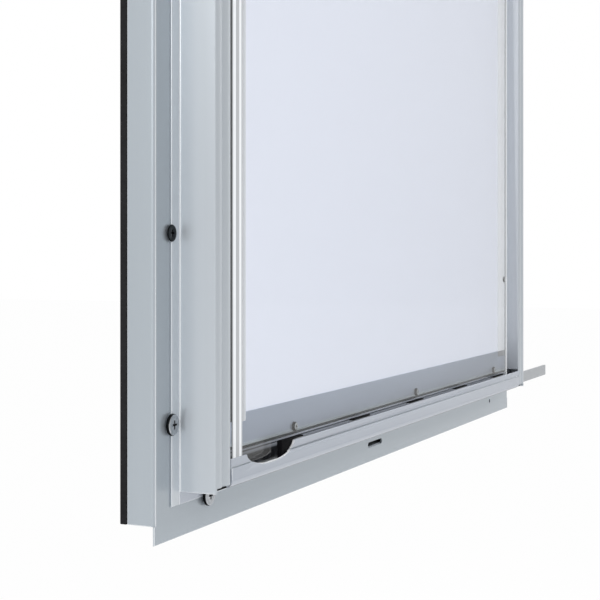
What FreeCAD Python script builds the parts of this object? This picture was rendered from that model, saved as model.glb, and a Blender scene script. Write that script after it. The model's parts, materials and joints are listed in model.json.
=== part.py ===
import FreeCAD, Part
import math
import os

from FreeCAD import Vector

# Wall-hung illuminated poster frame, in millimetres.
# Built with x = 0 on the centre line, y = 0 on the front face of the base plate (the front looks
# along -Y) and z = 0 on the plate's lower edge. Each piece is moved on saving, so that the origin
# lies at the centre of the rear face that rests on the wall.

# Clear cover and the poster behind it
cover_w = 500.0
cover_h = 700.0
cover_t = 6.0
cover_edge = 0.4
poster_room = 2.5

# Base pan
plate_t = 1.0
pan_wall_t = 1.0
pan_depth = 14.8
pan_end = 9.0
pan_edge_r = 1.9
flange_w = 22.0

# Rear cover, foam pad against the wall, and what holds them
back_t = 1.0
pad_t = 4.0
pad_hole_room = 1.5
post_r = 4.0
post_end_x = 40.0
post_end_z = 45.0
keyhole_r = 5.5
keyhole_slot_r = 2.6
keyhole_rise = 12.0
keyhole_x = 200.0
keyhole_drop = 90.0

# Raised frame: bent sheet, feet on the base plate
sheet_t = 1.2
side_foot_w = 7.4
rail_foot_w = 6.2
foot_t = 1.0
foot_bend_r = 0.9
side_front_w = 15.9
side_rib_w = 8.0
side_return_d = 11.5
side_end_cut = 2.6
side_room = 21.1
rib_rise = 0.9
valley_w = 1.8
valley_d = 0.3
rail_front_h = 10.4
rail_lip_h = 4.15
rail_bend_r = 4.4
lip_setback = 0.6
crease_h = 0.6
crease_d = 0.35
rail_end_gap = 0.2
rail_end_d = 3.2
top_front_h = 16.2
top_lip_h = 6.6
top_lip_gap = 0.5

# Thumb notch in the lip of the lower rail
notch_x = 62.0
notch_w = 57.0
notch_depth = 7.2

# Gutter behind that lip: rear leg, setting blocks, retaining bar and its pads
leg_gap = 0.35
block_h = 3.9
block_l = 60.0
block_x = 150.0
block_side_gap = 0.1
seat_gap = 0.3
bar_t = 1.5
bar_h = 9.2
bar_lift = 1.4
bar_gap = 0.3
bar_end_gap = 0.4
bar_grip = 16.0
bar_drawn = 76.0
bar_corner_r = 1.5
bar_pad_t = 1.4
bar_pad_l = 28.0
bar_pad_h = 9.1
bar_pad_rise = 0.95
bar_pad_pitch = 102.0
bar_pad_count = 5
bar_cap_t = 1.2
lift_room = 3.85
top_room = 0.6

# Light stack on the base plate
reflector_t = 0.5
guide_t = 4.0
diffuser_t = 2.0

# Holder bars that clamp the stack
holder_flange_t = 0.8
holder_rise = 10.9
holder_block_h = 4.7
holder_overlap_h = 9.5
holder_side_w = 6.0
holder_side_overlap = 14.5
holder_side_margin = 14.0
holder_notch_h = 4.8
holder_fit = 0.2

# Light strips
led_room = 3.0
board_t = 1.2
board_side_gap = 0.4
board_end_gap = 8.0
led_w = 3.0
led_h = 1.3
led_d = 2.8
led_pitch = 20.0

# Holder bar screws, M2.5 pan head
holder_screw_r = 1.25
holder_head_r = 2.5
holder_head_h = 1.7
holder_recess_d = 0.9
holder_screw_reach = 2.0
holder_screw_z = 2.8
holder_screw_left = 79.4
holder_screw_mid = 26.7
holder_screw_right = 35.9
side_screw_end = 60.0

# Clamp screws at the edge of the feet: M5 pan heads near the corners, M4 wafer heads along the sides
corner_screw_r = 2.5
corner_head_r = 5.25
corner_head_h = 1.8
corner_recess_d = 1.4
side_screw_r = 2.0
side_head_r = 4.1
side_head_h = 0.6
side_recess_d = 1.2
clamp_reach = 5.0
clamp_offset = 0.4
corner_screw_z = 55.1
side_screw_z = 146.0
end_screw_x = 50.6
end_screw_z = 15.8
screw_fit = 0.1
head_round = 0.6
recess_reach = 0.85
recess_width = 0.4

# Cut-outs of the lower flange
slot_x = -22.0
slot_z = 11.2
slot_l = 26.0
slot_h = 3.5
spare_hole_r = 1.7
spare_hole_x = 57.0
spare_hole_z = 11.8

# Rear screws, M4 with low round heads
rear_screw_r = 2.0
rear_head_r = 3.8
rear_screw_l = 7.0

# Electrical pieces inside the pan
driver_w = 150.0
driver_h = 40.0
driver_d = 10.5
driver_z = 110.0
driver_edge = 1.0
terminal_w = 24.0
terminal_h = 14.0
terminal_d = 9.0
terminal_gap = 30.0
terminal_hole_r = 1.6
terminal_pitch = 10.0
inlet_r = 4.5
inlet_bore_r = 2.5
inlet_flange_r = 5.5
inlet_flange_t = 1.2
inlet_x = 120.0
lead_r = 0.9
lead_pitch = 16.0
lead_bend_r = 9.0
lead_turn_r = 3.5
lead_end_r = 2.0
lead_hole_r = 3.0
lead_grommet_lip = 1.0
lead_grommet_lip_t = 0.8

# Places worked out from the sizes above
floor_z = flange_w + sheet_t
cover_z0 = floor_z + block_h + seat_gap
cover_z1 = cover_z0 + cover_h
fold_z = flange_w + rail_front_h
lip_z = fold_z + rail_lip_h
cover_lift = lip_z + lift_room - cover_z0
frame_z1 = cover_z1 + cover_lift + top_room + sheet_t
plate_h = frame_z1 + flange_w
mid_z = (cover_z0 + cover_z1) / 2

frame_x = cover_w / 2 + side_room + side_front_w
plate_x = frame_x + flange_w
lip_x = frame_x - side_front_w

stack_t = reflector_t + guide_t + diffuser_t
holder_d = stack_t + holder_flange_t
cover_back = holder_d + poster_room
cover_front = cover_back + cover_t
bar_back = cover_front + bar_gap
bar_front = bar_back + bar_t
bar_pad_front = bar_front + bar_pad_t
lip_back = bar_pad_front + bar_gap
lip_front = lip_back + sheet_t
frame_d = lip_front + lip_setback

window_x = cover_w / 2 - holder_side_margin
guide_x = window_x + holder_side_overlap
holder_x = guide_x + holder_side_w
holder_z0 = cover_z0 + holder_rise
board_z = holder_z0 + holder_block_h
guide_z = board_z + led_room
window_z = guide_z + holder_overlap_h

bar_z0 = flange_w + bar_lift + sheet_t
bar_z1 = bar_z0 + bar_h
bar_pad_z1 = lip_z + bar_pad_rise
leg_front = cover_back - bar_gap
leg_z = holder_z0 - leg_gap
bar_l = 2 * frame_x - sheet_t - bar_end_gap - bar_cap_t + bar_grip
bar_x0 = -frame_x + sheet_t + bar_end_gap + bar_cap_t + bar_drawn
clamp_x = frame_x + side_foot_w + clamp_offset
back_y = pan_depth - back_t


def box(x0, x1, y0, y1, z0, z1):
    """Box between two corners."""
    return Part.makeBox(x1 - x0, y1 - y0, z1 - z0, Vector(x0, y0, z0))


def slab(x0, x1, d0, d1, z0, z1):
    """Box whose depth runs forward of the base plate's face, from d0 to d1."""
    return box(x0, x1, -d1, -d0, z0, z1)


def outline(points, to_vector):
    """Closed face through points; a point written as a pair of points is an arc's middle and end."""
    edges = []
    last = to_vector(points[0])
    for point in points[1:] + points[:1]:
        if isinstance(point[0], tuple):
            middle, end = to_vector(point[0]), to_vector(point[1])
            edges.append(Part.Arc(last, middle, end).toShape())
        else:
            end = to_vector(point)
            edges.append(Part.LineSegment(last, end).toShape())
        last = end
    return Part.Face(Part.Wire(edges))


def drawn(face, along):
    """Solid of a face drawn along a vector, with its faces turned outwards."""
    solid = face.extrude(along)
    if solid.Volume < 0:
        solid.reverse()
    return solid


def upright(points, z0, z1):
    """Section of (x, depth) points, standing from z0 to z1."""
    face = outline(points, lambda p: Vector(p[0], -p[1], z0))
    return drawn(face, Vector(0, 0, z1 - z0))


def level(points, x0, x1):
    """Section of (depth, z) points, running from x0 to x1."""
    face = outline(points, lambda p: Vector(x0, -p[0], p[1]))
    return drawn(face, Vector(x1 - x0, 0, 0))


def rod(radius, start, along):
    """Round bar from a start point along a vector."""
    return Part.makeCylinder(radius, along.Length, start, along)


def corner(centre, radius, start, end):
    """Middle and end of an arc that turns from start to end degrees about its centre."""
    places = []
    for turn in ((start + end) / 2, end):
        a = math.radians(turn)
        places.append((centre[0] + radius * math.cos(a), centre[1] + radius * math.sin(a)))
    return tuple(places)


def pan_screw(shank_r, head_r, head_h, recess_d, length):
    """Round head screw: head towards -Y from its seat at y = 0, shank along +Y, cross recess."""
    head = rod(head_r, Vector(0, 0, 0), Vector(0, -head_h, 0))
    rim = [edge for edge in head.Edges if edge.BoundBox.YMax < -head_h / 2]
    head = head.makeFillet(head_h * head_round, [edge for edge in rim if len(edge.Vertexes) == 1])
    screw = head.fuse(rod(shank_r, Vector(0, 0, 0), Vector(0, length, 0))).removeSplitter()
    reach = shank_r * recess_reach
    half = shank_r * recess_width / 2
    for a, b in ((reach, half), (half, reach)):
        screw = screw.cut(box(-a, a, -head_h, -head_h + recess_d, -b, b))
    return screw


def placed(shape, x, depth, z):
    """Copy of a shape with its seat at a depth in front of the base plate."""
    copy = shape.copy()
    copy.translate(Vector(x, -depth, z))
    return copy


def mirrored_x(shape):
    """Mirror image about the centre line."""
    return shape.mirror(Vector(0, 0, 0), Vector(1, 0, 0))


def mirrored_z(shape):
    """Mirror image about the cover's mid height."""
    return shape.mirror(Vector(0, 0, mid_z), Vector(0, 0, 1))


def drilled(shape, places, radius, y0, y1):
    """Shape with a round hole along Y at each (x, z) place."""
    for x, z in places:
        shape = shape.cut(rod(radius, Vector(x, y0, z), Vector(0, y1 - y0, 0)))
    return shape


def corner_screw_places():
    """M5 clamp screws: two on each side foot, one at the lower left, two on the top foot."""
    sides = [(side * clamp_x, z) for side in (-1, 1) for z in (corner_screw_z, plate_h - corner_screw_z)]
    end_x = plate_x - end_screw_x
    top_z = plate_h - end_screw_z
    return sides + [(-end_x, end_screw_z), (-end_x, top_z), (end_x, top_z)]


def side_screw_places():
    """M4 clamp screws along the side feet."""
    heights = (side_screw_z, plate_h / 2, plate_h - side_screw_z)
    return [(side * clamp_x, z) for side in (-1, 1) for z in heights]


def notched(shape):
    """Foot strip with an open notch for each clamp screw."""
    shape = drilled(shape, corner_screw_places(), corner_screw_r + screw_fit, -foot_t - 1, 1)
    return drilled(shape, side_screw_places(), side_screw_r + screw_fit, -foot_t - 1, 1)


def post_places():
    """Posts that carry the rear cover: corners and mid height."""
    x = plate_x - post_end_x
    heights = (pan_end + post_end_z, plate_h / 2, plate_h - pan_end - post_end_z)
    return [(side * x, z) for side in (-1, 1) for z in heights]


def level_screw_x():
    """Screws along the upper and lower holder bars."""
    return (-holder_x + holder_screw_left, holder_screw_mid, holder_x - holder_screw_right)


def holder_screw_places():
    """Screws of all four holder bars."""
    z_low = holder_z0 + holder_screw_z
    z_high = 2 * mid_z - z_low
    level_places = [(x, z) for z in (z_low, z_high) for x in level_screw_x()]
    side_x = guide_x + holder_side_w / 2
    heights = (window_z + side_screw_end, mid_z, 2 * mid_z - window_z - side_screw_end)
    return level_places + [(side * side_x, z) for side in (-1, 1) for z in heights]


def lead_places():
    """Where the two leads pass through the base plate, at the left end of each light strip."""
    x = -guide_x + lead_hole_r + lead_grommet_lip
    z_low = board_z + lead_r + screw_fit
    return [(x, z_low), (x, 2 * mid_z - z_low)]


def base_pan():
    """Base plate with its left and right walls folded back."""
    pan = box(-plate_x, plate_x, 0, plate_t, 0, plate_h)
    for side in (-1, 1):
        x0, x1 = sorted((side * plate_x, side * (plate_x - pan_wall_t)))
        pan = pan.fuse(box(x0, x1, 0, pan_depth, pan_end, plate_h - pan_end))
    pan = pan.removeSplitter()
    fold = upright([
        (-plate_x, 0),
        (-plate_x + pan_edge_r, 0),
        corner((-plate_x + pan_edge_r, -pan_edge_r), pan_edge_r, 90, 180),
    ], pan_end, plate_h - pan_end)
    pan = pan.cut(fold).cut(mirrored_x(fold))
    through = (-1, plate_t + 1)
    pan = drilled(pan, corner_screw_places(), corner_screw_r + screw_fit, *through)
    pan = drilled(pan, [(plate_x - spare_hole_x, spare_hole_z)], spare_hole_r, *through)
    pan = drilled(pan, side_screw_places(), side_screw_r + screw_fit, *through)
    pan = drilled(pan, holder_screw_places(), holder_screw_r + screw_fit, *through)
    pan = drilled(pan, lead_places(), lead_hole_r, *through)
    half = (slot_l - slot_h) / 2
    pan = pan.cut(box(slot_x - half, slot_x + half, *through, slot_z - slot_h / 2, slot_z + slot_h / 2))
    return drilled(pan, [(slot_x - half, slot_z), (slot_x + half, slot_z)], slot_h / 2, *through)


def keyholed(shape, room, y0, y1):
    """Shape with two keyholes, widened by the given room."""
    z = plate_h - keyhole_drop
    slot_r = keyhole_slot_r + room
    for x in (-keyhole_x, keyhole_x):
        shape = drilled(shape, [(x, z)], keyhole_r + room, y0, y1)
        shape = drilled(shape, [(x, z + keyhole_rise)], slot_r, y0, y1)
        shape = shape.cut(box(x - slot_r, x + slot_r, y0, y1, z, z + keyhole_rise))
    return shape


def back_cover():
    """Rear tray: flat back with upper and lower walls, keyholes and screw holes."""
    x = plate_x - pan_wall_t
    z0, z1 = pan_end, plate_h - pan_end
    tray = box(-x, x, back_y, pan_depth, z0, z1)
    for low in (z0, z1 - back_t):
        tray = tray.fuse(box(-x, x, plate_t, pan_depth, low, low + back_t))
    tray = tray.removeSplitter()
    span = (back_y - 1, pan_depth + 1)
    tray = keyholed(tray, 0, *span)
    tray = drilled(tray, post_places(), rear_screw_r + screw_fit, *span)
    inlet_y = (plate_t + back_y) / 2
    return tray.cut(rod(inlet_r, Vector(inlet_x, inlet_y, z0 - 1), Vector(0, 0, back_t + 2)))


def wall_pad():
    """Black foam pad between the rear cover and the wall, open at the screws and keyholes."""
    pad = box(-plate_x, plate_x, pan_depth, pan_depth + pad_t, pan_end, plate_h - pan_end)
    span = (pan_depth - 1, pan_depth + pad_t + 1)
    pad = drilled(pad, post_places(), rear_head_r + pad_hole_room, *span)
    return keyholed(pad, pad_hole_room, *span)


def posts():
    """Threaded posts between the base plate and the rear cover."""
    made = []
    for x, z in post_places():
        post = rod(post_r, Vector(x, plate_t, z), Vector(0, back_y - plate_t, 0))
        made.append(drilled(post, [(x, z)], rear_screw_r + screw_fit, back_y - rear_screw_l - 1, back_y))
    return Part.makeCompound(made)


def rear_screws():
    """Low round head screws that hold the rear cover on its posts."""
    made = []
    for x, z in post_places():
        head = rod(rear_head_r, Vector(x, pan_depth, z), Vector(0, pad_t / 2, 0))
        shank = rod(rear_screw_r, Vector(x, pan_depth - rear_screw_l, z), Vector(0, rear_screw_l, 0))
        made.append(head.fuse(shank).removeSplitter())
    return Part.makeCompound(made)


def ribbed_front(start, stop, step):
    """Front of a side profile from outside to inside: two shallow ribs with a valley between."""
    flat = frame_d - rib_rise
    rib_end = start + step * (side_rib_w - valley_w / 2)
    valley = start + step * side_rib_w
    rib_2 = start + step * (side_rib_w + valley_w / 2)
    return [
        (start, flat),
        (((start + rib_end) / 2, frame_d), (rib_end, flat)),
        (valley, flat - valley_d),
        (rib_2, flat),
        (((rib_2 + stop) / 2, frame_d), (stop, flat)),
    ]


def profile_left():
    """Left profile: foot on the plate, outer wall, ribbed front and a return at the inner edge."""
    x0, x1 = -frame_x, -lip_x
    back = frame_d - rib_rise - valley_d - sheet_t / 2
    section = [(x0, 0)] + ribbed_front(x0, x1, 1) + [
        (x1, frame_d - side_return_d),
        (x1 - sheet_t, frame_d - side_return_d),
        (x1 - sheet_t, back),
        (x0 + sheet_t, back),
        (x0 + sheet_t, 0),
    ]
    profile = upright(section, flange_w, frame_z1)
    for low in (flange_w, frame_z1 - side_end_cut):
        profile = profile.cut(slab(x0 + sheet_t, x1 + 1, frame_d - side_return_d - 1, frame_d + 1,
                                   low, low + side_end_cut))
    gutter = slab(x0 + sheet_t, x1 + 1, 0, back, flange_w, bar_pad_z1 + bar_gap)
    profile = profile.cut(gutter)
    bend = upright([
        (x0, foot_t),
        (x0 - foot_bend_r, foot_t),
        corner((x0 - foot_bend_r, foot_t + foot_bend_r), foot_bend_r, 270, 360),
    ], flange_w, frame_z1)
    foot = slab(x0 - side_foot_w, x0, 0, foot_t, flange_w - rail_foot_w, frame_z1 + rail_foot_w)
    return notched(profile.fuse(foot).fuse(bend).removeSplitter())


def profile_right():
    """Mirror of the left profile, with the slot that the retaining bar passes through."""
    profile = mirrored_x(profile_left())
    slot = slab(frame_x - sheet_t - 1, frame_x + 1, bar_back - bar_gap, bar_pad_front + bar_gap,
                bar_z0 - bar_gap, bar_pad_z1 + bar_gap)
    return profile.cut(slot)


def rail_ends(rail, z0, z1, depth):
    """Cut the front of a rail back at both ends, so that it fits between the side profiles."""
    inner = lip_x - rail_end_gap
    for x0, x1 in ((-frame_x, -inner), (inner, frame_x)):
        rail = rail.cut(slab(x0, x1, depth, frame_d + 1, z0, z1))
    return rail


def notch_tool():
    """Oval scoop that opens the lip for a thumb."""
    x = -frame_x + notch_x
    y = -frame_d - 1
    rim = Part.Ellipse(Vector(x + notch_w / 2, y, lip_z), Vector(x, y, lip_z + notch_depth),
                       Vector(x, y, lip_z))
    return drawn(Part.Face(Part.Wire(rim.toShape())), Vector(0, -y - bar_front, 0))


def rail_bottom():
    """Lower rail: foot, floor, rear leg, step under the bar, rolled front and lip with thumb notch."""
    z0 = flange_w
    front_back = frame_d - sheet_t
    step_back = bar_back - bar_gap / 2
    step_z = bar_z0 - bar_gap
    bend = frame_d - rail_bend_r
    tip = sheet_t / 2
    section = [
        (0, z0 - rail_foot_w),
        (foot_t, z0 - rail_foot_w),
        (foot_t, z0),
        (bend, z0),
        corner((bend, z0 + rail_bend_r), rail_bend_r, 270, 360),
        (frame_d, fold_z - crease_h / 2),
        (lip_front - crease_d, fold_z - crease_h / 2),
        (lip_front - crease_d, fold_z + crease_h / 2),
        (lip_front, fold_z + crease_h / 2),
        (lip_front, lip_z - tip),
        ((lip_front - tip, lip_z), (lip_back, lip_z - tip)),
        (lip_back, fold_z - lip_setback),
        (front_back, fold_z - sheet_t),
        (front_back, step_z),
        (step_back, step_z),
        (step_back, floor_z),
        (leg_front, floor_z),
        (leg_front, leg_z),
        (leg_front - sheet_t, leg_z),
        (leg_front - sheet_t, floor_z),
        (0, floor_z),
    ]
    x = frame_x - sheet_t
    rail = rail_ends(level(section, -x, x), z0 - 1, lip_z + 1, frame_d - rail_end_d)
    feet = [slab(x0, x1, 0, foot_t, z0 - rail_foot_w, z0) for x0, x1 in ((-frame_x, -x), (x, frame_x))]
    for foot in feet:
        rail = rail.fuse(foot)
    return notched(rail.removeSplitter().cut(notch_tool()))


def rail_top():
    """Upper rail: foot, top wall, deep front with a lip that returns towards the cover."""
    z1 = frame_z1
    fold = z1 - top_front_h
    low = fold - top_lip_h
    bend = frame_d - rail_bend_r
    centre = (bend, z1 - rail_bend_r)
    reach = cover_front + top_lip_gap
    section = [
        (0, z1 + rail_foot_w),
        (0, z1 - sheet_t),
        (bend, z1 - sheet_t),
        corner(centre, rail_bend_r - sheet_t, 90, 0),
        (frame_d - sheet_t, fold + sheet_t),
        (lip_back, fold + lip_setback),
        (lip_back, low + sheet_t),
        (reach, low + sheet_t),
        (reach, low),
        (lip_front, low),
        (lip_front, fold - lip_setback / 2),
        (lip_front - lip_setback / 2, fold),
        (frame_d, fold + lip_setback),
        (frame_d, z1 - rail_bend_r),
        corner(centre, rail_bend_r, 0, 90),
        (foot_t, z1),
        (foot_t, z1 + rail_foot_w),
    ]
    x = frame_x - sheet_t
    rail = rail_ends(level(section, -x, x), low - 1, z1 + 1, cover_front)
    for x0, x1 in ((-frame_x, -x), (x, frame_x)):
        rail = rail.fuse(slab(x0, x1, 0, foot_t, z1, z1 + rail_foot_w))
    return notched(rail.removeSplitter())


def corner_clamp_screws():
    """M5 screws whose heads clamp the feet near the corners."""
    screw = pan_screw(corner_screw_r, corner_head_r, corner_head_h, corner_recess_d, clamp_reach)
    return Part.makeCompound([placed(screw, x, foot_t, z) for x, z in corner_screw_places()])


def side_clamp_screws():
    """M4 screws whose thin heads clamp the side feet."""
    screw = pan_screw(side_screw_r, side_head_r, side_head_h, side_recess_d, clamp_reach)
    return Part.makeCompound([placed(screw, x, foot_t, z) for x, z in side_screw_places()])


def stack_sheet(d0, d1):
    """Sheet of the light stack, as large as the holder bars take."""
    return slab(-guide_x, guide_x, d0, d1, guide_z, 2 * mid_z - guide_z)


def reflector_sheet():
    return drilled(stack_sheet(0, reflector_t), lead_places(), lead_hole_r, -stack_t, 1)


def light_guide():
    return stack_sheet(reflector_t, reflector_t + guide_t)


def diffuser():
    return stack_sheet(reflector_t + guide_t, stack_t)


def holed(bar):
    """Holder bar with a hole for each of its screws."""
    return drilled(bar, holder_screw_places(), holder_screw_r + screw_fit, -holder_d - 1, 1)


def holder_bottom():
    """Lower holder bar: a block with room for the light strip and a flange over the stack."""
    section = [
        (0, holder_z0),
        (holder_d, holder_z0),
        (holder_d, window_z),
        (stack_t, window_z),
        (stack_t, board_z),
        (0, board_z),
    ]
    bar = level(section, -holder_x, holder_x)
    inner = window_x - holder_fit
    for x0, x1 in ((-holder_x, -inner), (inner, holder_x)):
        bar = bar.cut(slab(x0, x1, 0, holder_d, window_z - holder_notch_h, window_z))
    return holed(bar)


def holder_top():
    return mirrored_z(holder_bottom())


def holder_right():
    """Side holder bar: a strip beside the stack with a flange over it."""
    section = [
        (holder_x, 0),
        (holder_x, holder_d),
        (window_x, holder_d),
        (window_x, stack_t),
        (guide_x, stack_t),
        (guide_x, 0),
    ]
    z0 = window_z - holder_notch_h + holder_fit
    return holed(upright(section, z0, 2 * mid_z - z0))


def holder_left():
    return mirrored_x(holder_right())


def holder_screws():
    """M2.5 screws through the holder bars into the base plate."""
    screw = pan_screw(holder_screw_r, holder_head_r, holder_head_h, holder_recess_d,
                      holder_d + holder_screw_reach)
    return Part.makeCompound([placed(screw, x, holder_d, z) for x, z in holder_screw_places()])


def led_board_bottom():
    x = guide_x - board_end_gap
    return slab(-x, x, board_side_gap, stack_t - board_side_gap, board_z, board_z + board_t)


def led_board_top():
    return mirrored_z(led_board_bottom())


def leds():
    """Light-emitting chips in two even rows."""
    x = guide_x - board_end_gap - led_w
    count = int(2 * x / led_pitch) + 1
    depth = stack_t / 2
    row = []
    for i in range(count):
        centre = (i - (count - 1) / 2) * led_pitch
        row.append(slab(centre - led_w / 2, centre + led_w / 2, depth - led_d / 2, depth + led_d / 2,
                        board_z + board_t, board_z + board_t + led_h))
    return Part.makeCompound(row + [mirrored_z(chip) for chip in row])


def setting_blocks():
    """Rubber blocks on the rail floor that the cover stands on."""
    made = []
    for side in (-1, 1):
        x = side * block_x
        made.append(slab(x - block_l / 2, x + block_l / 2, cover_back + block_side_gap,
                         cover_front - block_side_gap, floor_z, floor_z + block_h))
    return Part.makeCompound(made)


def clear_cover():
    """Clear sheet with polished, slightly broken edges."""
    sheet = slab(-cover_w / 2, cover_w / 2, cover_back, cover_front, cover_z0, cover_z1)
    rim = [edge for edge in sheet.Edges if edge.BoundBox.YLength < cover_t / 2]
    return sheet.makeChamfer(cover_edge, rim)


def retaining_bar():
    """Flat bar in the gutter, drawn out to the right."""
    bar = slab(bar_x0, bar_x0 + bar_l, bar_back, bar_front, bar_z0, bar_z1)
    ends = [edge for edge in bar.Edges if edge.BoundBox.YLength > bar_t / 2]
    return bar.makeFillet(bar_corner_r, ends)


def bar_pads():
    """Black pads that hook over the bar at an even pitch; the first one also caps the bar's left end."""
    low = bar_pad_z1 - bar_pad_h
    section = [
        (bar_front, low),
        (bar_pad_front, low),
        (bar_pad_front, bar_pad_z1),
        (bar_back, bar_pad_z1),
        (bar_back, bar_z1),
        (bar_front, bar_z1),
    ]
    start = bar_x0 - bar_cap_t
    starts = [start + i * bar_pad_pitch for i in range(bar_pad_count)]
    pads = [level(section, x, x + bar_pad_l) for x in starts]
    cap = slab(start, bar_x0, bar_back, bar_pad_front, bar_z0, bar_pad_z1)
    pads[0] = pads[0].fuse(cap).removeSplitter()
    return Part.makeCompound(pads)


def led_driver():
    """Power supply on the rear of the base plate."""
    case = box(-driver_w / 2, driver_w / 2, plate_t, plate_t + driver_d, driver_z, driver_z + driver_h)
    edges = [edge for edge in case.Edges if edge.BoundBox.YMin > plate_t]
    return case.makeChamfer(driver_edge, edges)


def terminal_block():
    """Two-pole terminal beside the power supply, on the side of the inlet."""
    x0 = driver_w / 2 + terminal_gap
    z0 = driver_z + (driver_h - terminal_h) / 2
    block = box(x0, x0 + terminal_w, plate_t, plate_t + terminal_d, z0, z0 + terminal_h)
    depth = plate_t + terminal_d / 2
    for step in (-terminal_pitch / 2, terminal_pitch / 2):
        hole = Vector(x0 + terminal_w / 2 + step, depth, z0)
        block = block.cut(rod(terminal_hole_r, hole, Vector(0, 0, terminal_h)))
    return block


def inlet_grommet():
    """Rubber grommet in the lower wall of the rear cover, where a supply cable enters."""
    y = (plate_t + back_y) / 2
    up = Vector(0, 0, 1)
    body = rod(inlet_r, Vector(inlet_x, y, pan_end), up * back_t)
    for z in (pan_end - inlet_flange_t, pan_end + back_t):
        body = body.fuse(rod(inlet_flange_r, Vector(inlet_x, y, z), up * inlet_flange_t))
    length = back_t + 2 * inlet_flange_t
    bore = rod(inlet_bore_r, Vector(inlet_x, y, pan_end - inlet_flange_t), up * length)
    return body.removeSplitter().cut(bore)


def lead_grommets():
    """Grommets where the leads pass through the base plate, with their flange at the rear."""
    made = []
    for x, z in lead_places():
        ring = rod(lead_hole_r, Vector(x, 0, z), Vector(0, plate_t, 0))
        lip = rod(lead_hole_r + lead_grommet_lip, Vector(x, plate_t, z), Vector(0, lead_grommet_lip_t, 0))
        ring = ring.fuse(lip).removeSplitter()
        made.append(drilled(ring, [(x, z)], lead_r + screw_fit, -1, plate_t + lead_grommet_lip_t + 1))
    return Part.makeCompound(made)


def tube(points, bends, radius):
    """Round lead along straight runs joined by tangent arcs, one bend radius per inner point."""
    edges = []
    last = points[0]
    for before, at, after, bend_r in zip(points, points[1:], points[2:], bends):
        way_in = (at - before).normalize()
        way_out = (after - at).normalize()
        turn = way_in.getAngle(way_out)
        reach = bend_r * math.tan(turn / 2)
        start, end = at - way_in * reach, at + way_out * reach
        inward = (way_out - way_in).normalize()
        middle = at + inward * (bend_r / math.cos(turn / 2) - bend_r)
        edges.append(Part.LineSegment(last, start).toShape())
        edges.append(Part.Arc(start, middle, end).toShape())
        last = end
    edges.append(Part.LineSegment(last, points[-1]).toShape())
    circle = Part.Wire(Part.makeCircle(radius, points[0], points[1] - points[0]))
    return Part.Wire(edges).makePipeShell([circle], True, False)


def led_leads():
    """Two leads from the power supply to the light strips, through the base plate."""
    behind = plate_t + driver_d / 2
    ahead = -stack_t / 2
    made = []
    for (x, z), step in zip(lead_places(), (-lead_pitch / 2, lead_pitch / 2)):
        start_z = driver_z + driver_h / 2 + step
        points = [
            Vector(-driver_w / 2, behind, start_z),
            Vector(x, behind, start_z),
            Vector(x, behind, z),
            Vector(x, ahead, z),
            Vector(-guide_x + board_end_gap, ahead, z),
        ]
        made.append(tube(points, (lead_bend_r, lead_turn_r, lead_end_r), lead_r))
    return Part.makeCompound(made)


def save(name, shape):
    """Write one piece, moved so that the origin is the centre of the wall face."""
    moved = shape.copy()
    moved.translate(Vector(0, -pan_depth - pad_t, -plate_h / 2))
    moved.exportStep("parts/" + name + ".step")


PIECES = [
    base_pan, back_cover, wall_pad, posts, rear_screws,
    profile_left, profile_right, rail_bottom, rail_top, corner_clamp_screws, side_clamp_screws,
    reflector_sheet, light_guide, diffuser,
    holder_bottom, holder_top, holder_left, holder_right, holder_screws,
    led_board_bottom, led_board_top, leds,
    setting_blocks, clear_cover, retaining_bar, bar_pads,
    led_driver, terminal_block, inlet_grommet, lead_grommets, led_leads,
]

os.makedirs("parts", exist_ok=True)
for make in PIECES:
    save(make.__name__, make())
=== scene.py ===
import json
import math

import bmesh
import bpy
from bpy.props import FloatProperty, FloatVectorProperty, PointerProperty
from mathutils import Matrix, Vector


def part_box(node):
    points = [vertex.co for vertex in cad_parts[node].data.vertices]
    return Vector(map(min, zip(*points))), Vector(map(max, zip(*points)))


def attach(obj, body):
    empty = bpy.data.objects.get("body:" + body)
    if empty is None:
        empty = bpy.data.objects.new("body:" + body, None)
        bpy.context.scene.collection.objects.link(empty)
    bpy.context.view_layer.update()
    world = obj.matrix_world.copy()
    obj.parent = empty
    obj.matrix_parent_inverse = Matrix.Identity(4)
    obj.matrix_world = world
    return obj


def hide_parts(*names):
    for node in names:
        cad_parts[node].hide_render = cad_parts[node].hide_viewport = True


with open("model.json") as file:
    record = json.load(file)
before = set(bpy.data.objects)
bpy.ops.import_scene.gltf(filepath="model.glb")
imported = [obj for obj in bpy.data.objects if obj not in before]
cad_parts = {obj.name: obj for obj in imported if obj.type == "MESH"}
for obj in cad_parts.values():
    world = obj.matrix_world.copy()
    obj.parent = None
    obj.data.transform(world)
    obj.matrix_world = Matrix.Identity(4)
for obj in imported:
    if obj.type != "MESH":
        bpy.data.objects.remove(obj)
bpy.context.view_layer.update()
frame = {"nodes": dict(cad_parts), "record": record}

bl_info = {
    "name": "Illuminated Poster Frame",
    "version": (1, 0, 0),
    "blender": (4, 5, 0),
    "location": "View3D > Sidebar > Poster Frame",
    "description": "Builds the finishes and fine pieces of a wall-hung, edge-lit poster frame",
    "category": "Object",
}

NODES = frame["nodes"]
BODIES = frame["record"]["behaviour"]["bodies"]
BODY_OF = {node: body for body, nodes in BODIES.items() for node in nodes}
SLOT_OF = {part["node"]: part["material_slot"] for part in frame["record"]["subparts"]}

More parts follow.
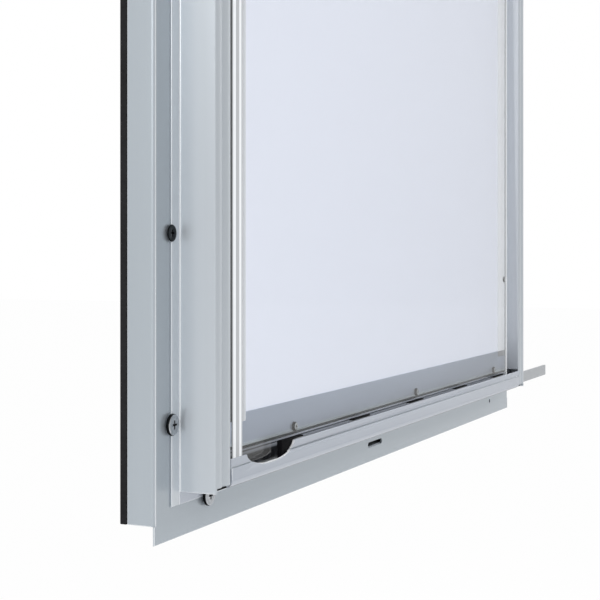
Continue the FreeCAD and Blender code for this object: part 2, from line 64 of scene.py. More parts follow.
# Places on the pieces, in metres
FOOT_FACE = -0.0210      # the feet lie behind this depth
LOW_BENDS = -0.0300      # the bends of the feet and of the pan lie behind this depth
FOLD = (-0.3503, -0.3491)        # heights of the fold line of the lower rail
GUTTER_BACK = -0.0385    # the gutter's inner faces lie behind this depth
GUTTER_LOW = -0.3595     # and above this height
GUTTER = (-0.3490, -0.3440)      # heights over which the gutter's inner faces change tone
GUTTER_OPEN = (-0.2180, -0.2020)     # the gutter's inner faces turn lighter here, to the right
NOTCH = (-0.2560, -0.1940)       # ends of the thumb notch
NOTCH_DEPTH = 0.004      # the notch's edge reaches this far below the fold line
RETURN_EDGE = 0.2725     # the inner faces of the side profiles lie within this, from the centre line
STRIP = (-0.2460, 0.2500)        # from the left strip's painted-dark outer part to the right end of the cover
PAD_FACE = (-0.3456, -0.3452)    # heights over which the grey faces of the bar's pads turn black towards their upper edge
PAD_GREY_FROM = (-0.1960, -0.1900)    # and the place where the grey starts
HOLDER_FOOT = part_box("holder_bottom")[0].z
HOLDER_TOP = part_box("holder_bottom")[1].z

# Rounding and cleaning of the meshes
WELD = 1e-6
FLAT_ANGLE = math.radians(0.6)
EDGE_ANGLE = math.radians(35)
SMOOTH_ANGLE = math.radians(32)
EDGE_SEGMENTS = 2
SQUARE = 0.95            # a face whose normal has this much of an axis looks along it

# Drawn grain, as the stretch of its noise
UPRIGHT = (1, 1, 0.02)
LEVEL = (0.02, 1, 1)

# Levels of a colour between two places on an axis: axis, both places, both levels. All but EVEN are
# painted light.
EVEN = ("Z", 0, 1, 1.0, 1.0)
# painted light: the side walls of the profiles are lighter towards their feet, lifting the dim
# reflection of the feet in them
WALL_PAINTED_LIGHT = ("Y", -0.0195, -0.0345, 1.14, 1.0)
# painted light on the inner faces by the returns of the side profiles, which lie in the channel's
# shade: lighter deep in it, darker towards its front
RETURN_PAINTED_LEVELS = ("Y", -0.0285, -0.0390, 1.26, 0.9)
# painted light: the lower holder bar is lighter along its lower 2.2 mm, lifting the shade that gathers
# there above the gutter
HOLDER_PAINTED_LIGHT = ("Z", HOLDER_FOOT, HOLDER_FOOT + 0.0022, 1.75, 1.0)

# Stops of the ramps, each a place from 0 to 1 and a level
# painted shade in the gutter, from low to high: dark at the bottom, a dark stripe as a painted shadow
# line, and black along the top as the painted shade of the gap under the holder bar
GUTTER_PAINTED_SHADE_STOPS = (
    (0.0, 0.02), (0.16, 0.04), (0.36, 0.6), (0.54, 0.75), (0.60, 0.15), (0.70, 0.15),
    (0.74, 0.9), (0.82, 0.75), (0.90, 0.6), (0.93, 0.0), (1.0, 0.0))
# painted light and shade of the side light strips, along X: near black over the left strip's outer
# part, white towards the window, lighter at the right end
STRIP_PAINTED_LIGHT_AND_SHADE = (
    (0.0, 0.03), (0.005, 0.06), (0.010, 0.60), (0.020, 0.90), (0.968, 0.90), (0.974, 1.15), (1.0, 1.15))
# painted light across the depth of the cover's edge: pale bands of glow and colour
EDGE_PAINTED_BANDS = (
    (0.0, 0.10), (0.08, 0.20), (0.14, 0.45), (0.22, 0.94), (0.41, 1.0), (0.46, 0.52),
    (0.75, 0.54), (0.79, 1.0), (0.88, 1.0), (0.93, 0.62), (1.0, 0.52))

WHITE = (1, 1, 1, 1)
BLACK = (0, 0, 0, 1)

# Glow of the lit panel, painted glow of the light strips and of the cover's edge, and bending of light
# in the clear ones
PANEL_GLOW = 0.855
STRIP_PAINTED_GLOW = 0.25
EDGE_PAINTED_GLOW = 0.78
CLEAR_IOR = 1.49

# Stage; places and sizes are in metres
FLOOR_HEIGHT = -0.75
FLOOR_REACH = 12
FLOOR_SHOWN = 0.96       # share of plain white in the floor, where the camera looks at it
FLOOR_IN_GLOSS = 0.5     # and where a gloss does
KEY_PLACE = (-1.9, -0.3, 0.8)
KEY_SIZE = (1.6, 1.6)
RIM_PLACE = (2.0, -0.5, 0.6)
RIM_TARGET = (0, 0, -0.1)
RIM_SIZE = (1.0, 1.2)
RIM_SPREAD = math.radians(60)
CAMERA_PLACE = (-0.8383, -0.3304, -0.2474)
CAMERA_TURN = (math.radians(90), 0, math.radians(-65.84))
CAMERA_LENS = 78.82
CAMERA_SHIFT = -0.0718


class FrameSizes(bpy.types.PropertyGroup):
    """Sizes of the rounded edges."""

    sheet_edge: FloatProperty(
        name="Sheet edge", description="Radius of the broken edges of the bent sheet pieces",
        default=0.00035, min=0.00005, max=0.0006, unit="LENGTH", precision=5)
    trim_edge: FloatProperty(
        name="Trim edge",
        description="Radius of the edges of the holder bars, the retaining bar and the screws",
        default=0.00012, min=0.00002, max=0.0003, unit="LENGTH", precision=5)
    rubber_edge: FloatProperty(
        name="Rubber edge", description="Radius of the edges of the rubber pieces",
        default=0.00025, min=0.00005, max=0.0004, unit="LENGTH", precision=5)
    foam_edge: FloatProperty(
        name="Foam edge", description="Radius of the rim of the foam pad",
        default=0.0005, min=0.0002, max=0.0018, unit="LENGTH", precision=5)


class FrameFinishes(bpy.types.PropertyGroup):
    """Colours and gloss of the finishes."""

    metal: FloatVectorProperty(
        name="Metal", description="Colour of the satin frame sheet", subtype="COLOR",
        default=(0.515, 0.555, 0.595), min=0, max=1)
    pan: FloatVectorProperty(
        name="Pan", description="Colour of the satin base pan", subtype="COLOR",
        default=(0.43, 0.475, 0.515), min=0, max=1)
    # painted highlight: the bends and broken edges of the sheet get this lighter colour
    bend: FloatVectorProperty(
        name="Bends", description="Colour of the drawn bends and edges of the sheet", subtype="COLOR",
        default=(0.72, 0.755, 0.79), min=0, max=1)
    metal_roughness: FloatProperty(
        name="Metal roughness", description="Roughness of the satin sheet metal", subtype="FACTOR",
        default=0.32, min=0.05, max=1)
    band: FloatVectorProperty(
        name="Holder", description="Colour of the grey holder bars behind the cover", subtype="COLOR",
        default=(0.490, 0.550, 0.660), min=0, max=1)
    panel: FloatVectorProperty(
        name="Panel light", description="Colour of the lit panel", subtype="COLOR",
        default=(0.70, 0.73, 0.84), min=0, max=1)
    screw: FloatVectorProperty(
        name="Screw steel", description="Colour of the plated screws", subtype="COLOR",
        default=(0.46, 0.48, 0.505), min=0, max=1)


class StudioSettings(bpy.types.PropertyGroup):
    """Light levels of the studio."""

    fill: FloatProperty(
        name="Fill", description="Strength of the even light from all around",
        default=0.75, min=0, max=2)
    front: FloatProperty(
        name="Front", description="How bright the front of the studio is in reflections",
        subtype="FACTOR", default=0.72, min=0, max=1)
    mirror: FloatProperty(
        name="Mirror", description="How much dimmer the studio is in mirror-like faces",
        subtype="FACTOR", default=0.6, min=0, max=1)
    key: FloatProperty(
        name="Key", description="Power of the large lamp at the left",
        default=15.0, min=0, unit="POWER")
    rim: FloatProperty(
        name="Rim", description="Power of the lamp that grazes the front from the right",
        default=5.0, min=0, unit="POWER")


class Wire:
    """Output of a shader node. Arithmetic on wires and numbers adds Math nodes."""

    def __init__(self, look, socket):
        self.look = look
        self.socket = socket

    def pick(self, name):
        """Another output of the same node."""
        return Wire(self.look, self.socket.node.outputs[name])

    def math(self, operation, *values):
        return self.look.node("ShaderNodeMath", {"operation": operation}, dict(enumerate(values)))

    def largest(self, other):
        return self.math("MAXIMUM", self, other)

    def __gt__(self, other):
        return self.math("GREATER_THAN", self, other)

    def __lt__(self, other):
        return self.math("LESS_THAN", self, other)

    def __add__(self, other):
        return self.math("ADD", self, other)

    def __sub__(self, other):
        return self.math("SUBTRACT", self, other)

    def __mul__(self, other):
        return self.math("MULTIPLY", self, other)

    def __truediv__(self, other):
        return self.math("DIVIDE", self, other)

    def __radd__(self, other):
        return self.math("ADD", other, self)

    def __rsub__(self, other):
        return self.math("SUBTRACT", other, self)

    def __rmul__(self, other):
        return self.math("MULTIPLY", other, self)

    def __rtruediv__(self, other):
        return self.math("DIVIDE", other, self)


class Look:
    """Nodes of a material or of the world, with one main shader."""

    def __init__(self, owner, shader="Principled BSDF"):
        owner.use_nodes = True
        self.owner = owner
        self.tree = owner.node_tree
        self.shader = self.tree.nodes[shader]

    def node(self, kind, settings=None, sockets=None, output=0):
        """Any node: its settings first, then the values or wires of its sockets."""
        made = self.tree.nodes.new(kind)
        for key, value in (settings or {}).items():
            if key == "stops":
                self.stops(made.color_ramp.elements, value)
            else:
                setattr(made, key, value)
        for key, value in (sockets or {}).items():
            self.feed(made.inputs[key], value)
        return Wire(self, made.outputs[output])

    def stops(self, elements, stops):
        """Stops of a ramp, from the first to the last."""
        for element, (place, colour) in ((elements[0], stops[0]), (elements[1], stops[-1])):
            element.position = place
            element.color = colour
        for place, colour in stops[1:-1]:
            elements.new(place).color = colour

    def feed(self, socket, value):
        if isinstance(value, Wire):
            self.tree.links.new(value.socket, socket)
        else:
            socket.default_value = value

    def set(self, **values):
        """Values or wires of the main shader's sockets, with _ for a space."""
        for key, value in values.items():
            self.feed(self.shader.inputs[key.replace("_", " ")], value)
        return self.owner

    def place(self, stretch=(1, 1, 1)):
        """Place on the piece, stretched along its axes."""
        spot = self.node("ShaderNodeTexCoord", output="Object")
        return self.node("ShaderNodeMapping", {}, {"Vector": spot, "Scale": stretch})

    def axis(self, name, system="Object"):
        """Place along one axis."""
        spot = self.node("ShaderNodeTexCoord", output=system)
        return self.node("ShaderNodeSeparateXYZ", {}, {"Vector": spot}, output=name)

    def along(self, name, low, high):
        """0 at one place on an axis of the piece, 1 at another."""
        return (self.axis(name) - low) / (high - low)

    def noise(self, scale, detail=2.0, stretch=(1, 1, 1)):
        """Soft noise from 0 to 1 over the piece."""
        return self.node("ShaderNodeTexNoise", {}, {
            "Vector": self.place(stretch), "Scale": scale, "Detail": detail})

    def blend(self, low, high, factor):
        """Colour between two colours."""
        return self.node("ShaderNodeMix", {"data_type": "RGBA"}, {0: factor, 6: low, 7: high}, output=2)

    def bump(self, height, strength, distance):
        """Fine relief, as a normal."""
        return self.node("ShaderNodeBump", {}, {
            "Height": height, "Strength": strength, "Distance": distance})

    def rays(self):
        """Three masks: what the camera or a clear sheet looks at, what only a gloss looks at, and
        what a mirror-like face shows.
        """
        ray = self.node("ShaderNodeLightPath", output="Is Camera Ray")
        plain = ray.largest(ray.pick("Is Transmission Ray"))
        gloss = ray.pick("Is Glossy Ray") * (1 - plain)
        sharp = ray.pick("Is Singular Ray") * (ray.pick("Glossy Depth") > 0)
        return plain, gloss, sharp


def new_look(name):
    return Look(bpy.data.materials.new(name))


def solid(colour, level=1.0):
    """Colour as four numbers, made lighter or darker."""
    return tuple(min(1.0, channel * level) for channel in colour) + (1.0,)


def mixed(low, high, share):
    """Colour between two colours."""
    return tuple(a + (b - a) * share for a, b in zip(low, high))


def satin_metal(name, colour, roughness, grain, metallic=0.5, shade=EVEN):
    """Satin sheet: faint drawn grain along one direction, soft clouds of tone and a fine tooth.

    The colour's level changes between two places on an axis; the callers use this for painted light.
    """
    look = new_look(name)
    axis, low, high, first, last = shade
    clouds = look.noise(5.0, detail=3.0)
    streaks = look.noise(420.0, stretch=grain)
    tooth = look.noise(2600.0, detail=1.0)
    tone = clouds * 0.6 + streaks * 0.4
    near, far = (look.blend(solid(colour, 0.965 * level), solid(colour, 1.035 * level), tone)
                 for level in (first, last))
    return look.set(
        Base_Color=look.blend(near, far, look.along(axis, low, high)),
        Metallic=metallic,
        Roughness=roughness - 0.05 + streaks * 0.06 + clouds * 0.04,
        Normal=look.bump(tooth * 0.6 + streaks * 0.4, 0.035, 0.0002),
    )


def gutter_metal(name, colour, roughness):
    """Satin sheet inside the gutter with painted shade: dark low down, in a stripe below its upper
    edge, and black along that edge.
    """
    look = new_look(name)
    streaks = look.noise(420.0, stretch=LEVEL)
    # here the noise only roughens the edges of the painted shade
    dust_and_shade = look.noise(60.0, detail=4.0)
    tone = look.node("ShaderNodeValToRGB", {
        "stops": [(place, (level, level, level, 1)) for place, level in GUTTER_PAINTED_SHADE_STOPS],
    }, {"Fac": look.along("Z", *GUTTER) + dust_and_shade * 0.04 - 0.02})
    sheet = look.blend(solid(colour), solid(colour, 2.0), look.along("X", *GUTTER_OPEN))
    return look.set(
        Base_Color=look.blend((0.003, 0.003, 0.003, 1), sheet, tone),
        Metallic=0.2,
        Roughness=roughness + streaks * 0.08,
        Specular_IOR_Level=0.1,
        Normal=look.bump(streaks, 0.03, 0.0002),
    )


def steel(name, colour, roughness, metallic=1.0):
    """Plated steel with fine scuffs."""
    look = new_look(name)
    scuffs = look.noise(900.0, detail=3.0)
    blots = look.noise(650.0)
    return look.set(
        Base_Color=look.blend(solid(colour, 0.4), solid(colour, 1.5), blots),
        Metallic=metallic,
        Roughness=roughness - 0.06 + scuffs * 0.14,
        Normal=look.bump(scuffs, 0.05, 0.0001),
    )


def rubber(name, colour, scale, depth):
    """Dull rubber or foam with a fine pitted skin and a little dust."""
    look = new_look(name)
    pits = look.node("ShaderNodeTexVoronoi", {}, {"Vector": look.place(), "Scale": scale})
    dust_and_shade = look.noise(40.0, detail=4.0) * 0.7 + look.noise(500.0, detail=3.0) * 0.3
    return look.set(
        Base_Color=look.blend(solid(colour, 0.3), solid(colour, 2.2), dust_and_shade),
        Roughness=0.72 + pits * 0.2,
        Specular_IOR_Level=0.2,
        Normal=look.bump(pits, 0.3, depth),
    )


def grey_faced_rubber(name, colour, grey_colour):
    """Black rubber that is grey on its faces below the upper edge, except at the bar's left end."""
    look = new_look(name)
    dust_and_shade = look.noise(300.0, detail=4.0)
    edge = look.along("Z", *PAD_FACE) + dust_and_shade * 0.5 - 0.25
    face = look.blend(solid(grey_colour), solid(colour), edge)
    return look.set(
        Base_Color=look.blend(solid(colour), face, look.along("X", *PAD_GREY_FROM)),
        Roughness=0.75 + dust_and_shade * 0.2,
        Specular_IOR_Level=0.1,
        Normal=look.bump(dust_and_shade, 0.2, 0.0002),
    )


def moulded(name, colour, roughness):
    """Moulded plastic with an eroded skin."""
    look = new_look(name)
    skin = look.noise(1400.0)
    clouds = look.noise(9.0)
    return look.set(
        Base_Color=look.blend(solid(colour, 0.94), solid(colour, 1.05), clouds),
        Roughness=roughness - 0.05 + skin * 0.1,
        Normal=look.bump(skin, 0.08, 0.0002),
    )


def lit_panel(name, colour):
    """Opal sheet lit from behind, a touch brighter towards the upper right."""
    look = new_look(name)
    low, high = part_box("diffuser")
    across = look.along("Z", low.z, high.z) * 0.5 + look.along("X", low.x, high.x) * 0.5
    haze = look.noise(700.0)
    return look.set(
        Base_Color=look.blend((0.24, 0.25, 0.27, 1), (0.26, 0.27, 0.29, 1), haze),
        Roughness=0.45,
        Emission_Color=look.blend(solid(colour, 0.97), solid(colour), across),
        Emission_Strength=PANEL_GLOW,
    )


def glowing_plastic(name, colour):
    """Moulded strip with painted light and shade: white near the window, with a painted glow for the
    light that leaks through it, near black outwards as the painted shade of the channel, and lighter at
    the right end.

    The right strip's lower end, beside the lower bar, stays grey.
    """
    look = new_look(name)
    skin = look.noise(1400.0)
    painted_levels = look.node("ShaderNodeValToRGB", {
        "stops": [(place, solid(colour, level)) for place, level in STRIP_PAINTED_LIGHT_AND_SHADE],
    }, {"Fac": look.along("X", *STRIP)})
    low_end = (look.axis("X") > 0) * (look.axis("Z") < HOLDER_TOP)
    tint = look.blend(look.blend(painted_levels, solid(colour, 0.35), low_end), BLACK, skin * 0.08)
    return look.set(
        Base_Color=tint,
        Roughness=0.45 + skin * 0.1,
        Emission_Color=tint,
        Emission_Strength=STRIP_PAINTED_GLOW,
        Normal=look.bump(skin, 0.08, 0.0002),
    )


def clear_sheet(name, gloss=0.5):
    """Clear sheet with faint dust."""
    look = new_look(name)
    dust_and_shade = look.noise(220.0, detail=5.0)
    return look.set(
        Base_Color=look.blend((0.97, 0.98, 0.985, 1), (0.98, 0.99, 0.995, 1), dust_and_shade),
        Roughness=0.0,
        IOR=CLEAR_IOR,
        Specular_IOR_Level=gloss,
        Transmission_Weight=1.0,
    )


def polished_edge_painted_light(name):
    """Polished edge of the clear sheet with painted light: pale bands in its colour and glow stand in
    for the light that runs inside the sheet and leaves at the edge, and for the edge's reflections.
    """
    look = new_look(name)
    low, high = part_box("clear_cover")
    bands = look.node("ShaderNodeValToRGB", {
        "stops": [(place, (level * 0.95, level * 0.975, level, 1)) for place, level in EDGE_PAINTED_BANDS],
    }, {"Fac": look.along("Y", high.y, low.y)})
    scuffs = look.noise(900.0, detail=3.0)
    return look.set(
        Base_Color=look.blend(BLACK, bands, 0.45),
        Roughness=0.12 + scuffs * 0.1,
        Emission_Color=bands,
        Emission_Strength=EDGE_PAINTED_GLOW,
    )


FINISHES = {}


def finish_of(name):
    """Material of a record slot or of a variant of one, made once."""
    if name not in FINISHES:
        FINISHES[name] = make_finish(name)
    return FINISHES[name]


def make_finish(name):
    """New material. The names are the record's slots and the variants that single faces have."""
    looks = bpy.context.scene.poster_frame_finishes
    metal, pan, bend = tuple(looks.metal), tuple(looks.pan), tuple(looks.bend)
    band, screw = tuple(looks.band), tuple(looks.screw)
    rough = looks.metal_roughness
    makers = {
        # side walls of the profiles, with painted light towards their feet
        "satin_aluminium": lambda: satin_metal(name, metal, rough, UPRIGHT, shade=WALL_PAINTED_LIGHT),
        "satin_level": lambda: satin_metal(name, (0.455, 0.490, 0.550), rough, LEVEL),
        "satin_pan": lambda: satin_metal(name, pan, rough, UPRIGHT),
        # front faces of the feet: painted light, halfway between the sheet and the bends' painted
        # highlight
        "foot_painted_light": lambda: satin_metal(name, mixed(metal, bend, 0.5), rough, UPRIGHT),
        # lighter, less metallic copy of the sheet for the inner faces by the returns: painted light in
        # the shaded channel
        "return_painted_light": lambda: satin_metal(
            name, (0.55, 0.58, 0.625), rough, UPRIGHT, metallic=0.2, shade=RETURN_PAINTED_LEVELS),
        # inside of the gutter, with painted shade
        "gutter_painted_shade": lambda: gutter_metal(name, (0.315, 0.336, 0.378), rough),
        # faces in the fold line of the rails: a lighter copy of the rail's finish, painted light in the
        # crease
        "fold_painted_light": lambda: satin_metal(name, (0.55, 0.59, 0.63), rough, LEVEL),
        # near-white rim of the thumb notch: painted highlight
        "notch_painted_highlight": lambda: satin_metal(name, (0.95, 0.96, 0.98), rough, LEVEL, metallic=0.2),
        # bends and broken edges of the sheet: painted highlight, a lighter and glossier copy of the
        # sheet
        "bend_painted_highlight": lambda: satin_metal(name, bend, rough - 0.06, UPRIGHT),
        "rear_sheet": lambda: satin_metal(name, metal, rough + 0.1, LEVEL),
        "black_foam": lambda: rubber(name, (0.010, 0.010, 0.011), 900.0, 0.0006),
        "turned_steel": lambda: steel(name, screw, 0.3),
        "screw_steel": lambda: steel(name, screw, 0.22),
        # lighter, bluer and less metallic copy of the screw steel for the small holder screws: painted
        # glint
        "screw_painted_glint": lambda: steel(name, (0.64, 0.70, 0.77), 0.2, metallic=0.4),
        # near-black finish, painted shade on the sides of the heads, in the recesses and round the
        # faces of the heads
        "screw_painted_shade": lambda: steel(name, (0.008, 0.009, 0.010), 0.45),
        "screw_dark": lambda: steel(name, (0.022, 0.025, 0.028), 0.35),
        "reflector_white": lambda: moulded(name, (0.88, 0.88, 0.88), 0.6),
        "opal_lit": lambda: lit_panel(name, tuple(looks.panel)),
        # grey holder bars, with painted light along the lower edge of the lower one
        "holder_grey": lambda: satin_metal(name, band, rough, LEVEL, shade=HOLDER_PAINTED_LIGHT),
        # side light strips, with painted glow, painted shade outwards and painted light at the right
        # end
        "holder_white": lambda: glowing_plastic(name, (0.72, 0.74, 0.78)),
        "board_white": lambda: moulded(name, (0.78, 0.80, 0.78), 0.4),
        "led_yellow": lambda: moulded(name, (0.85, 0.72, 0.25), 0.25),
        "black_rubber": lambda: rubber(name, (0.006, 0.006, 0.007), 1600.0, 0.0002),
        "pad_rubber": lambda: grey_faced_rubber(name, (0.004, 0.004, 0.005), (0.34, 0.35, 0.37)),
        "bar_steel": lambda: satin_metal(name, (0.40, 0.42, 0.44), 0.34, LEVEL),
        "driver_case": lambda: moulded(name, (0.80, 0.80, 0.77), 0.45),
        "terminal_plastic": lambda: moulded(name, (0.72, 0.72, 0.66), 0.4),
        "lead_jacket": lambda: moulded(name, (0.55, 0.03, 0.02), 0.4),
        "clear_sheet": lambda: clear_sheet(name, gloss=0.1),
        "polished_edge_painted_light": lambda: polished_edge_painted_light(name),
        "guide_acrylic": lambda: clear_sheet(name),
    }
    return makers[name]()


def finished(*nodes):
    """Solids that are shown as they are, in the finish of their slot."""
    for node in nodes:
        slots = NODES[node].data.materials
        slots.clear()
        slots.append(finish_of(SLOT_OF[node]))


def cleaned(node):
    """Welded copy of a solid's mesh, with its flat faces whole again."""
    mesh = bmesh.new()
    mesh.from_mesh(NODES[node].data)
    bmesh.ops.remove_doubles(mesh, verts=mesh.verts, dist=WELD)
    bmesh.ops.dissolve_limit(mesh, angle_limit=FLAT_ANGLE, verts=mesh.verts, edges=mesh.edges)
    for face in mesh.faces:
        face.material_index = 0
    return mesh


def shown(node, mesh, *finishes):
    """Piece made from a mesh, riding on the node's body in place of the node."""
    data = bpy.data.meshes.new(node + "_shown")
    for name in finishes:
        data.materials.append(finish_of(name))
    mesh.to_mesh(data)
    mesh.free()
    piece = bpy.data.objects.new(node + "_shown", data)
    bpy.context.scene.collection.objects.link(piece)
    data.shade_smooth()
    data.set_sharp_from_angle(angle=SMOOTH_ANGLE)
    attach(piece, BODY_OF[node])
    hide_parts(node)
    return piece


def in_fold(point):
    """Whether a point lies in the fold line of the lower rail."""
    return FOLD[0] < point.z < FOLD[1]


def mark(mesh, number, test):
    """Give a finish's number to the faces that pass a test of their normal and centre."""
    for face in mesh.faces:
        if test(face.normal, face.calc_center_median()):
            face.material_index = number


def edge_broken(node, radius, least=0.0):
    """Copy of a solid's mesh whose sharp edges are rounded; the rounded faces get number 1.

    Edges shorter than the least length, and those in the fold line, stay sharp.
    """
    mesh = cleaned(node)
    sharp = [edge for edge in mesh.edges
             if len(edge.link_faces) == 2 and edge.calc_face_angle() > EDGE_ANGLE
             and edge.calc_length() > least and not all(in_fold(vert.co) for vert in edge.verts)]
    made = bmesh.ops.bevel(mesh, geom=sharp, offset=radius, segments=EDGE_SEGMENTS, profile=0.5,
                           affect="EDGES", clamp_overlap=False)
    mesh.normal_update()
    for face in made["faces"]:
        face.material_index = 1
    return mesh


def bent_sheet(node, radius, low=0.3, high=0.95):
    """Mesh of a sheet piece with broken edges; these and its low upright bends get number 1.

    A bend is a face that looks forward, and to a side by more than low and less than high.
    """
    mesh = edge_broken(node, radius, least=0.004)
    # number 1: painted highlight on the broken edges and the low bends
    mark(mesh, 1, lambda normal, at: (
        normal.y < -0.3 and low < abs(normal.x) < high and at.y > LOW_BENDS))
    return mesh


def trimmed(node, radius, least=0.0, finish=None):
    """Piece with finely rounded edges, in the finish of its slot or in another one."""
    mesh = edge_broken(node, radius, least)
    mark(mesh, 0, lambda normal, at: True)
    return shown(node, mesh, finish or SLOT_OF[node])


def loose_parts(mesh):
    """Faces of each solid of a mesh."""
    left = set(mesh.faces)
    while left:
        part, rim = [], [left.pop()]
        while rim:
            face = rim.pop()
            part.append(face)
            near = {other for edge in face.edges for other in edge.link_faces} & left
            left -= near
            rim.extend(near)
        yield part


def screws(node, radius, rim=0.94, finish=None):
    """Screws with finely rounded edges; the sides of the heads and of the recesses get a near-black
    painted shade.

    So does the face of a head outside rim times its radius.
    """
    mesh = edge_broken(node, radius, least=0.0006)
    for part in loose_parts(mesh):
        across = [vert.co.x for face in part for vert in face.verts]
        upright = [vert.co.z for face in part for vert in face.verts]
        reach = (max(across) - min(across)) / 2
        middle = Vector((min(across) + reach, 0, min(upright) + reach))
        for face in part:
            at = face.calc_center_median()
            out = math.hypot(at.x - middle.x, at.z - middle.z)
            # painted shade on the sides of the heads and recesses, and round their faces
            face.material_index = int(abs(face.normal.y) < 0.6 or out > rim * reach)
    return shown(node, mesh, finish or SLOT_OF[node], "screw_painted_shade")


class HousingPieces(bpy.types.Operator):
    """Base pan, rear cover and foam pad"""

    bl_idname = "poster_frame.housing"
    bl_label = "Housing"

    def execute(self, context):
        sizes = context.scene.poster_frame_sizes
        pan = bent_sheet("base_pan", sizes.sheet_edge, low=0.1, high=0.5)
        shown("base_pan", pan, "satin_pan", "bend_painted_highlight")
        finished("back_cover", "posts", "rear_screws")
        pad = trimmed("wall_pad", sizes.foam_edge, least=0.05)
        return {"FINISHED"}


class RaisedFrame(bpy.types.Operator):
    """Side profiles and rails of the raised frame"""

    bl_idname = "poster_frame.raised_frame"
    bl_label = "Raised frame"

    def execute(self, context):
        sizes = context.scene.poster_frame_sizes
        for node in ("profile_left", "profile_right"):
            mesh = bent_sheet(node, sizes.sheet_edge)
            mark(mesh, 0, lambda normal, at: at.y < LOW_BENDS)
            # number 2: painted light on the front faces of the feet
            mark(mesh, 2, lambda normal, at: normal.y < -SQUARE and at.y > FOOT_FACE)
            # number 3: painted light on the inner faces by the returns
            mark(mesh, 3, lambda normal, at: normal.x * at.x < -0.2 and abs(at.x) < RETURN_EDGE)
            shown(node, mesh, "satin_aluminium", "bend_painted_highlight", "foot_painted_light", "return_painted_light")
        for node in ("rail_bottom", "rail_top"):
            mesh = bent_sheet(node, sizes.sheet_edge)
            # number 2: the gutter's inner faces, with painted shade
            mark(mesh, 2, lambda normal, at: (
                at.y > GUTTER_BACK and abs(at.z) < -GUTTER_LOW and abs(normal.x) < 0.5))
            # number 3: painted light in the fold line
            mark(mesh, 3, lambda normal, at: in_fold(at))
            # number 4: painted highlight on the cut rim of the thumb notch
            mark(mesh, 4, lambda normal, at: (
                at.y < GUTTER_BACK and NOTCH[0] < at.x < NOTCH[1] and abs(normal.y) < 0.8
                and FOLD[0] - NOTCH_DEPTH < at.z))
            shown(node, mesh, "satin_level", "bend_painted_highlight", "gutter_painted_shade", "fold_painted_light", "notch_painted_highlight")
        return {"FINISHED"}


class ClampScrews(bpy.types.Operator):
    """Screws on the feet and in the holder bars"""

    bl_idname = "poster_frame.clamp_screws"
    bl_label = "Clamp screws"

    def execute(self, context):
        edge = context.scene.poster_frame_sizes.trim_edge
        screws("corner_clamp_screws", edge)
        screws("side_clamp_screws", edge)
        # holder screws with a painted glint
        screws("holder_screws", edge, rim=0.8, finish="screw_painted_glint")
        return {"FINISHED"}


class LightStack(bpy.types.Operator):
    """Lit panel, light guide, reflector, light strips and holder bars"""

    bl_idname = "poster_frame.light_stack"
    bl_label = "Light stack"

    def execute(self, context):
        edge = context.scene.poster_frame_sizes.trim_edge
        finished("reflector_sheet", "light_guide", "diffuser")
        finished("led_board_bottom", "led_board_top", "leds")
        for node in ("holder_bottom", "holder_top", "holder_left", "holder_right"):
            trimmed(node, edge, least=0.003)
        return {"FINISHED"}


class CoverAndGutter(bpy.types.Operator):
    """Clear cover, its setting blocks, the retaining bar and the bar's pads"""

    bl_idname = "poster_frame.cover"
    bl_label = "Cover and gutter"

    def execute(self, context):
        sizes = context.scene.poster_frame_sizes
        self.cover()
        trimmed("retaining_bar", sizes.trim_edge, least=0.001)
        trimmed("setting_blocks", sizes.rubber_edge)
        trimmed("bar_pads", sizes.rubber_edge, finish="pad_rubber")
        return {"FINISHED"}

    def cover(self):
        """Clear faces, and polished edges with painted light; the sheet takes no light from what lies
        behind it.
        """
        mesh = cleaned("clear_cover")
        for face in mesh.faces:
            face.material_index = 0 if abs(face.normal.y) > SQUARE else 1
        piece = shown("clear_cover", mesh, "clear_sheet", "polished_edge_painted_light")
        piece.visible_shadow = False
        piece.visible_diffuse = False


class Electrics(bpy.types.Operator):
    """Power supply, terminal, leads and grommets"""

    bl_idname = "poster_frame.electrics"
    bl_label = "Electrics"

    def execute(self, context):
        sizes = context.scene.poster_frame_sizes
        finished("led_driver", "terminal_block", "led_leads")
        for node in ("inlet_grommet", "lead_grommets"):
            trimmed(node, sizes.rubber_edge)
        return {"FINISHED"}


def lamp(name, place, target, size, power):
    """Large soft lamp that looks at a point."""
    data = bpy.data.lights.new(name, "AREA")
    data.shape = "RECTANGLE"
    data.size, data.size_y = size
    data.energy = power
    made = bpy.data.objects.new(name, data)
    made.location = place
    made.rotation_euler = (Vector(target) - Vector(place)).to_track_quat("-Z", "Y").to_euler()
    bpy.context.scene.collection.objects.link(made)
    return made


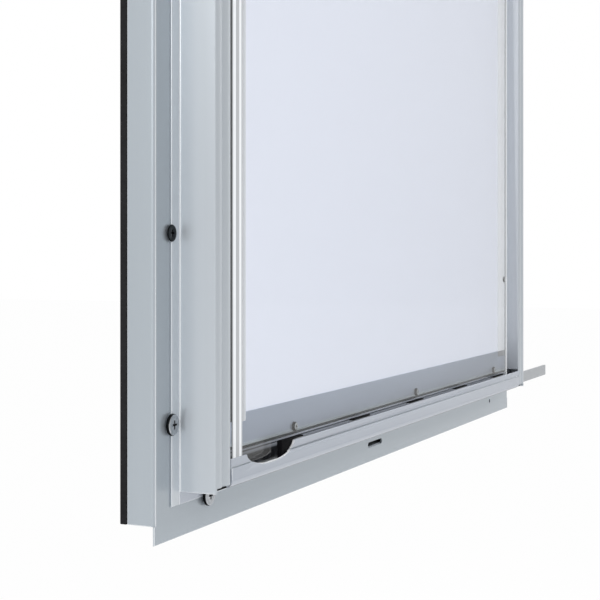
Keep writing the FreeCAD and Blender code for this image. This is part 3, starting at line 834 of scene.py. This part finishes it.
class StudioStage(bpy.types.Operator):
    """Floor, white surroundings, soft lamps and the camera"""

    bl_idname = "poster_frame.stage"
    bl_label = "Studio"

    def execute(self, context):
        scene = context.scene
        studio = scene.poster_frame_studio
        scene.view_settings.view_transform = "Standard"
        self.floor(studio)
        self.surroundings(scene, studio)
        lamp("key_left", KEY_PLACE, (0, 0, 0), KEY_SIZE, studio.key)
        rim = lamp("rim_right", RIM_PLACE, RIM_TARGET, RIM_SIZE, studio.rim)
        rim.data.spread = RIM_SPREAD
        rim.visible_glossy = False
        rim.visible_transmission = False
        self.camera(scene)
        return {"FINISHED"}

    def floor(self, studio):
        """Pale floor, white where the camera or a clear sheet looks at it, with the part's shadow."""
        mesh = bmesh.new()
        bmesh.ops.create_grid(mesh, x_segments=8, y_segments=8, size=FLOOR_REACH)
        data = bpy.data.meshes.new("floor")
        mesh.to_mesh(data)
        mesh.free()
        floor = bpy.data.objects.new("floor", data)
        floor.location = (0, 0, FLOOR_HEIGHT)
        bpy.context.scene.collection.objects.link(floor)
        look = new_look("floor_white")
        plain, gloss, sharp = look.rays()
        white = look.node("ShaderNodeEmission", {}, {"Color": WHITE, "Strength": 1.0})
        dim = look.node("ShaderNodeEmission", {}, {"Color": WHITE, "Strength": 1 - studio.mirror})
        matt = look.node("ShaderNodeBsdfDiffuse", {}, {"Color": (0.95, 0.95, 0.95, 1)})
        share = plain * FLOOR_SHOWN + gloss * FLOOR_IN_GLOSS
        pale = look.node("ShaderNodeMixShader", {}, {0: share, 1: matt, 2: white})
        mix = look.node("ShaderNodeMixShader", {}, {0: sharp, 1: pale, 2: dim})
        look.feed(look.tree.nodes["Material Output"].inputs["Surface"], mix)
        data.materials.append(look.owner)

    def surroundings(self, scene, studio):
        """White all round; a gloss sees the front of the studio a little dimmer than its rear, and a
        mirror-like face sees all of it dimmer.
        """
        world = bpy.data.worlds.new("white_studio")
        scene.world = world
        look = Look(world, "Background")
        rear = look.node("ShaderNodeMapRange", {"interpolation_type": "SMOOTHSTEP"}, {
            "Value": look.axis("Y", "Generated"), "From Min": -0.9, "From Max": 0.1,
            "To Min": studio.front, "To Max": 1.0})
        plain, gloss, sharp = look.rays()
        even = (1 - plain) * (1 - gloss) * studio.fill
        level = (plain + gloss * rear + even) * (1 - sharp * studio.mirror)
        look.set(Color=WHITE, Strength=level)

    def camera(self, scene):
        """Camera at the photograph's viewing angle."""
        data = bpy.data.cameras.new("camera")
        data.sensor_width = 36.0
        data.lens = CAMERA_LENS
        data.shift_y = CAMERA_SHIFT
        data.clip_start = 0.01
        camera = bpy.data.objects.new("camera", data)
        camera.location = CAMERA_PLACE
        camera.rotation_euler = CAMERA_TURN
        scene.collection.objects.link(camera)
        scene.camera = camera


STEPS = (HousingPieces, RaisedFrame, ClampScrews, LightStack, CoverAndGutter, Electrics, StudioStage)


class FramePanel(bpy.types.Panel):
    """Steps and settings of the poster frame"""

    bl_idname = "VIEW3D_PT_poster_frame"
    bl_label = "Poster Frame"
    bl_space_type = "VIEW_3D"
    bl_region_type = "UI"
    bl_category = "Poster Frame"

    def draw(self, context):
        for step in STEPS:
            self.layout.operator(step.bl_idname)
        for group in SETTINGS:
            settings = getattr(context.scene, group)
            for name in settings.__annotations__:
                self.layout.prop(settings, name)


SETTINGS = {
    "poster_frame_sizes": FrameSizes,
    "poster_frame_finishes": FrameFinishes,
    "poster_frame_studio": StudioSettings,
}
CLASSES = tuple(SETTINGS.values()) + STEPS + (FramePanel,)


def register():
    for cls in CLASSES:
        bpy.utils.register_class(cls)
    for name, group in SETTINGS.items():
        setattr(bpy.types.Scene, name, PointerProperty(type=group))


def unregister():
    for name in SETTINGS:
        delattr(bpy.types.Scene, name)
    for cls in reversed(CLASSES):
        bpy.utils.unregister_class(cls)


def main():
    """Run all steps in order."""
    register()
    for step in STEPS:
        group, name = step.bl_idname.split(".")
        getattr(getattr(bpy.ops, group), name)()


if __name__ == "__main__":
    main()
